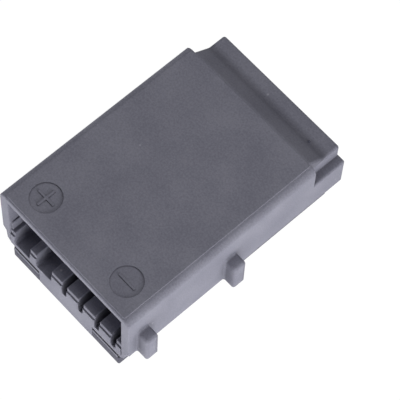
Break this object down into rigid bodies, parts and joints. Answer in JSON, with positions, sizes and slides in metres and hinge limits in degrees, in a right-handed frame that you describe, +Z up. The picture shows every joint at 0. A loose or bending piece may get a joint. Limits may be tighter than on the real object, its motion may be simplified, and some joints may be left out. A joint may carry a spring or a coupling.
{
  "type": "cable plug",
  "caption": "Flat grey cable plug with an open comb-floored mouth, polarity marks on top, lugs on one side and a stepped cable end",
  "frame": {"origin": "centre of the footprint of the main body, on the underside of the base plate", "axes": "+X towards the side with the two lugs, +Y from the open mouth towards the cable end, +Z up from the base plate towards the face with the polarity marks"},
  "size_m": [0.0421, 0.0605, 0.0261],
  "materials": {
    "shell": "fine moulded texture, cool mid grey",
    "base": "fine moulded texture, dark grey",
    "seal": "matt black rubber",
    "lock": "matt dark plastic",
    "contact": "stamped sheet, satin",
    "steel": "plain steel, satin"
  },
  "bodies": {
    "root": {"housing": "shell", "base_plate": "base", "base_gasket": "seal", "rear_lock": "lock", "cable_grommet": "seal", "cable_clamp": "lock", "base_screws": "steel", "clamp_screws": "steel", "power_contact_positive": "contact", "power_contact_negative": "contact", "power_spring_positive": "steel", "power_spring_negative": "steel", "signal_contact_1": "contact", "signal_contact_2": "contact", "signal_contact_3": "contact", "signal_contact_4": "contact"}
  },
  "joints": []
}
